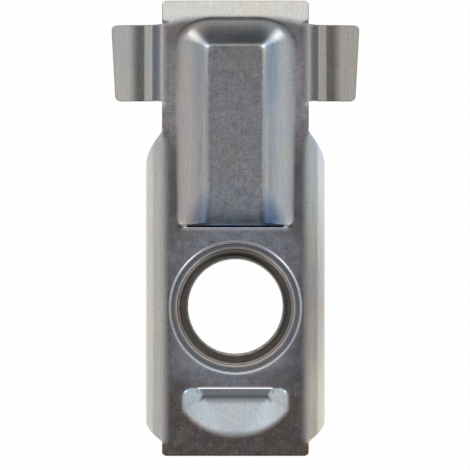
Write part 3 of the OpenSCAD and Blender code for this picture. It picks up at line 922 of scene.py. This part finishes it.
def zinc(name, base, tints, rough, grain, film_and_painted_light):
    """Bright zinc plate with a thin blue passivation: a smooth satin metal that mirrors the tent softly,
    with faint blue and straw tints in broad patches, a very fine speckle and faint rolling streaks."""
    material = bpy.data.materials.new(name)
    material.use_nodes = True
    tree = material.node_tree
    add = partial(add_node, tree)
    shader = tree.nodes["Principled BSDF"]
    place = add("ShaderNodeTexCoord").outputs["Object"]
    along = add("ShaderNodeMapping", Vector=place, Scale=(1, 0.04, 1))
    # the film's colour, with painted light and shade in it
    film_and_painted_light_colour, crystals, matt = film_and_painted_light(tree, place)
    # tints in patches of about 4 mm
    blue, straw = (srgb(tint) for tint in tints)
    patches = add("ShaderNodeTexNoise", Vector=place, Scale=1 / (4 * MM), Detail=3, Distortion=0.6)
    tint_stops = [(0.34, blue), (0.47, base), (0.55, base), (0.68, straw)]
    colour = add("ShaderNodeValToRGB", None, patches, stops=tint_stops)
    colour = add("ShaderNodeMix", MULTIPLY, i0=1.0, i6=colour, i7=film_and_painted_light_colour)
    # each kind of mark: its size in millimetres, detail, run, share, and how it darkens and lightens the
    # metal
    speckle = (0.13, 2, place, 1.0, [(0.25, 0.88), (0.5, 1.0), (0.75, 1.07)])
    rolling_streaks = (0.1, 2, along, 1.0, [(0.3, 0.93), (0.5, 1.0), (0.7, 1.06)])
    matt_marks = (0.18, 2, place, matt, [(0.28, 0.76), (0.5, 1.0), (0.72, 1.16)])
    bright_crystals = (0.2, 1, place, crystals, [(0.6, 1.0), (0.72, 1.7)])
    for size, detail, run, share, levels in (speckle, rolling_streaks, matt_marks, bright_crystals):
        noise = add("ShaderNodeTexNoise", Vector=run, Scale=1 / (size * MM), Detail=detail)
        marks = add("ShaderNodeValToRGB", None, noise, stops=[(at, grey(level)) for at, level in levels])
        colour = add("ShaderNodeMix", MULTIPLY, i0=share, i6=colour, i7=marks)
    # gloss varies in patches of about 0.6 mm, and the punch and the pads leave the sheet's flat faces rougher
    wear = add("ShaderNodeTexNoise", Vector=place, Scale=1 / (0.6 * MM), Detail=3)
    gloss_stops = [(0.3, grey(rough - 0.04)), (0.7, grey(rough + 0.05))]
    gloss = add("ShaderNodeValToRGB", None, wear, stops=gloss_stops)
    rougher = add(MATH, "ADD", gloss, add(MATH, "MULTIPLY", matt, 0.13))
    # a faint unevenness of about 0.25 mm
    uneven = add("ShaderNodeTexNoise", Vector=place, Scale=1 / (0.25 * MM), Detail=3)
    bump = add("ShaderNodeBump", Strength=grain, Distance=0.01 * MM, Height=uneven)
    for node, socket in ((colour, "Base Color"), (rougher, "Roughness"), (bump, "Normal")):
        tree.links.new(next(s for s in node.outputs if s.enabled), shader.inputs[socket])
    shader.inputs["Metallic"].default_value = 1.0
    return material


def white_floor(colour):
    """Matt white paper: bright and even, with a trace of the part's soft shadow left in it."""
    material = bpy.data.materials.new("matt_white_paper")
    material.use_nodes = True
    tree = material.node_tree
    tree.nodes.clear()
    add = partial(add_node, tree)
    path = add("ShaderNodeLightPath").outputs
    mirrored = add(MATH, "ADD", path["Is Glossy Ray"], path["Is Transmission Ray"])
    seen = add(MATH, {"operation": "ADD", "use_clamp": True}, path["Is Camera Ray"], mirrored)
    even = 0.985
    paper = add("ShaderNodeBsdfDiffuse", Color=(*colour, 1))
    lit = add("ShaderNodeEmission", Color=(1, 1, 1, 1), Strength=1.0)
    mix = add("ShaderNodeMixShader", None, add(MATH, "MULTIPLY", seen, even), paper, lit)
    add("ShaderNodeOutputMaterial", Surface=mix)
    return material


def light_tent(stage):
    """A soft tent: dim around the camera, brightest beyond the top lip, even at both sides and dim
    towards the tail."""
    world = bpy.data.worlds.new("light_tent")
    bpy.context.scene.world = world
    world.use_nodes = True
    tree = world.node_tree
    tree.nodes.clear()
    add = partial(add_node, tree)
    way = add(VECTOR_MATH, "NORMALIZE", add("ShaderNodeTexCoord").outputs["Generated"])
    spot = add("ShaderNodeSeparateXYZ", None, way).outputs
    angle = add(MATH, "DIVIDE", add(MATH, "ARCCOSINE", spot["Z"]), math.pi)

    def side_of_tent(plan):
        """Strength of one side of the tent by degrees down from overhead."""
        levels = [(0, stage.overhead)] + plan
        stops = [(down / 180, grey(level * stage.tent)) for down, level in levels]
        return add("ShaderNodeValToRGB", None, angle, stops=stops)

    sides = side_of_tent([(8, 0.12), (16, 0.2), (28, 0.38), (44, 0.6), (60, 0.68), (96, 0.66)])
    top = side_of_tent([(3.1, 0.26), (10, 0.36), (20, 0.56), (30, 0.84), (42, 1.15), (60, 1.15), (90, 0.8)])
    tail = side_of_tent([(3.1, 0.068), (12, 0.06), (22, 0.2), (34, 0.4), (48, 0.38), (64, 0.22), (80, 0.13),
                         (90, 0.1)])
    # share of the sides in each direction: 1 straight across the part, 0 straight along it
    square = add(MATH, "MULTIPLY", spot["X"], spot["X"])
    flat = add(MATH, "ADD", square, add(MATH, "MULTIPLY", spot["Y"], spot["Y"]))
    across = add(MATH, "DIVIDE", square, add(MATH, "ADD", flat, 1e-6))
    to_top = add(MATH, "GREATER_THAN", spot["Y"], 0.0)
    ends = add("ShaderNodeMix", {"data_type": "RGBA"}, i0=to_top, i6=tail, i7=top)
    sky = add("ShaderNodeMix", {"data_type": "RGBA"}, i0=across, i6=ends, i7=sides)
    # two soft lamps stand at the corners beyond the tail, and light the inner corners of the recess
    strength, narrowness = grey(1.4), 7.0
    diagonal = add(MATH, "MULTIPLY", add(MATH, "MULTIPLY", across, 4.0), add(MATH, "SUBTRACT", 1.0, across))
    to_tail = add(MATH, "LESS_THAN", spot["Y"], 0.0)
    corners = add(MATH, "MULTIPLY", add(MATH, "POWER", diagonal, narrowness), to_tail)
    lamp_stops = [(0.2, grey(0)), (0.27, strength), (0.4, strength), (0.48, grey(0))]
    lamp = add("ShaderNodeValToRGB", None, angle, stops=lamp_stops)
    sky = add("ShaderNodeMix", {"data_type": "RGBA", "blend_type": "ADD"}, i0=corners, i6=sky, i7=lamp)
    # the left side of the tent is a little brighter than the right
    lean = add(MATH, "SUBTRACT", 1.0, add(MATH, "MULTIPLY", spot["X"], 0.09))
    lit = add("ShaderNodeBackground", Color=sky, Strength=lean)
    white = add("ShaderNodeBackground", Color=(1, 1, 1, 1), Strength=1.0)
    seen = add("ShaderNodeLightPath").outputs["Is Camera Ray"]
    add("ShaderNodeOutputWorld", Surface=add("ShaderNodeMixShader", None, seen, lit, white))


# operators

class CAGENUT_OT_cage(bpy.types.Operator):
    """Draws the folded sheet cage"""
    bl_idname = "cagenut.cage"
    bl_label = "Draw cage"

    def execute(self, context):
        cage = context.scene.cagenut_cage
        obj = add_object("sheet_cage", cage_mesh(cage))
        smooth(obj.data, 50)
        bevel = obj.modifiers.new("Cut edges", "BEVEL")
        bevel.limit_method = "WEIGHT"
        bevel.width = cage.hole_edge
        bevel.segments = 4
        bevel.use_clamp_overlap = False
        obj.modifiers.new("Even shading", "WEIGHTED_NORMAL").weight = 80
        mesh = plain_mesh(obj, "sheet_cage")
        obj.modifiers.clear()
        obj.data = mesh
        lay_film(mesh, cage)
        mesh.materials.clear()
        material = zinc("zinc_plate_blue_passivated", tuple(cage.plate_colour), ("#c3c8ce", "#cdc9c3"),
                        rough=0.2, grain=0.15, film_and_painted_light=sheet_film)
        mesh.materials.append(material)
        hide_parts("cage")
        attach(obj, "root")
        return {"FINISHED"}


class CAGENUT_OT_nut(bpy.types.Operator):
    """Draws the square nut with its thread"""
    bl_idname = "cagenut.nut"
    bl_label = "Draw nut"

    def execute(self, context):
        nut = context.scene.cagenut_nut
        material = zinc("zinc_plate_dull", tuple(nut.nut_colour), ("#b4bcc6", "#c4bfb8"),
                        rough=0.42, grain=0.2, film_and_painted_light=bore_tint_and_painted_light)
        mesh = nut_mesh(nut, material)
        obj = add_object("square_nut", mesh)
        smooth(mesh, 35)
        mesh.materials.clear()
        mesh.materials.append(material)
        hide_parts("nut")
        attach(obj, "root")
        return {"FINISHED"}


class CAGENUT_OT_stage(bpy.types.Operator):
    """Sets the floor, the light and the camera"""
    bl_idname = "cagenut.stage"
    bl_label = "Set stage"

    def execute(self, context):
        scene = context.scene
        stage = scene.cagenut_stage
        floor_half, floor_drop = 600 * MM, 0.02 * MM
        bm = bmesh.new()
        bmesh.ops.create_grid(bm, x_segments=1, y_segments=1, size=floor_half)
        mesh = bpy.data.meshes.new("floor")
        bm.to_mesh(mesh)
        bm.free()
        floor = add_object("floor", mesh)
        floor.location.z = -floor_drop
        mesh.materials.append(white_floor(tuple(stage.floor_colour)))
        floor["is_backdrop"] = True
        light_tent(stage)
        data = bpy.data.cameras.new("camera")
        camera = bpy.data.objects.new("camera", data)
        scene.collection.objects.link(camera)
        height = stage.camera_height
        data.lens = data.sensor_width * height / (PHOTO_PX * MM_A_PX * MM)
        data.clip_start = 1 * MM
        middle = ((PHOTO_PX / 2 - AXIS_PX[0]) * MM_A_PX, (AXIS_PX[1] - PHOTO_PX / 2) * MM_A_PX, 0)
        x, y, z = to_row(middle)
        camera.location = (x, y, z + height)
        scene.camera = camera
        scene.view_settings.view_transform = "Standard"
        return {"FINISHED"}


class CAGENUT_PT_panel(bpy.types.Panel):
    """Lists the pieces of the cage nut"""
    bl_idname = "CAGENUT_PT_panel"
    bl_label = "Cage nut"
    bl_space_type = "VIEW_3D"
    bl_region_type = "UI"
    bl_category = "Cage nut"

    def draw(self, context):
        for settings, operator in ((context.scene.cagenut_cage, CAGENUT_OT_cage),
                                   (context.scene.cagenut_nut, CAGENUT_OT_nut),
                                   (context.scene.cagenut_stage, CAGENUT_OT_stage)):
            box = self.layout.box()
            for name in settings.bl_rna.properties.keys():
                if name not in ("rna_type", "name"):
                    box.prop(settings, name)
            box.operator(operator.bl_idname)


CLASSES = (CageSettings, NutSettings, StageSettings, CAGENUT_OT_cage, CAGENUT_OT_nut, CAGENUT_OT_stage,
           CAGENUT_PT_panel)


def register():
    for cls in CLASSES:
        bpy.utils.register_class(cls)
    bpy.types.Scene.cagenut_cage = PointerProperty(type=CageSettings)
    bpy.types.Scene.cagenut_nut = PointerProperty(type=NutSettings)
    bpy.types.Scene.cagenut_stage = PointerProperty(type=StageSettings)


def unregister():
    del bpy.types.Scene.cagenut_stage
    del bpy.types.Scene.cagenut_nut
    del bpy.types.Scene.cagenut_cage
    for cls in reversed(CLASSES):
        bpy.utils.unregister_class(cls)


def main():
    register()
    bpy.ops.cagenut.cage()
    bpy.ops.cagenut.nut()
    bpy.ops.cagenut.stage()


if __name__ == "__main__":
    main()
